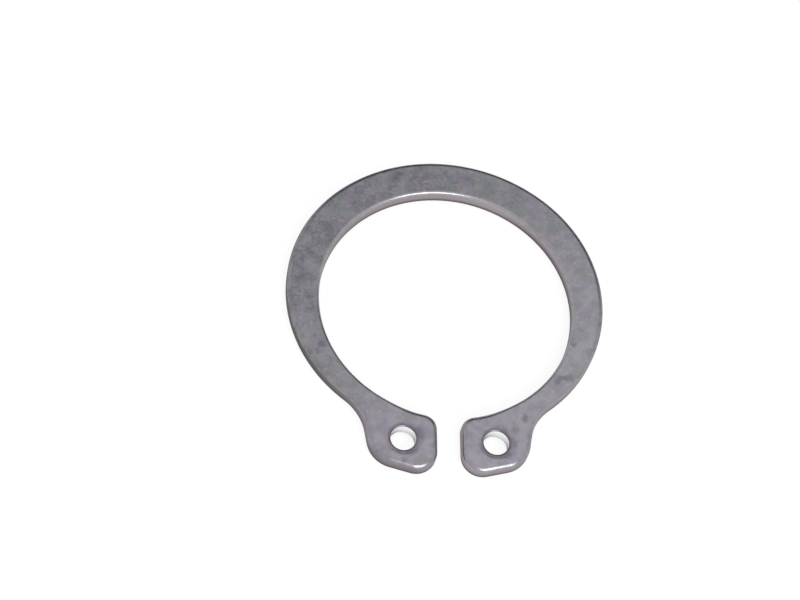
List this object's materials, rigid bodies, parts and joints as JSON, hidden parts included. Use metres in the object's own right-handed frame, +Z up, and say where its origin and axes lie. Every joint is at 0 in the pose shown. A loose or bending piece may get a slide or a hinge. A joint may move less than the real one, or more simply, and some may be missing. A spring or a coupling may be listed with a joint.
{
  "type": "external retaining ring",
  "caption": "Flat open spring-steel ring with a lug and plier hole at each end, sprung into a shaft groove to stop parts sliding off.",
  "frame": {"origin": "on the axis of the bore, in the lower flat face that the ring rests on", "axes": "+Z up along the bore's axis, towards the face with the rounded edge; -Y from the axis towards the gap between the lugs"},
  "size_m": [0.0196, 0.0215, 0.001],
  "materials": {
    "phosphated_spring_steel": "satin mid-grey phosphated and oiled surface, faintly mottled, with brighter rubbed edges"
  },
  "bodies": {
    "root": {"retaining_ring": "phosphated_spring_steel"}
  },
  "joints": []
}
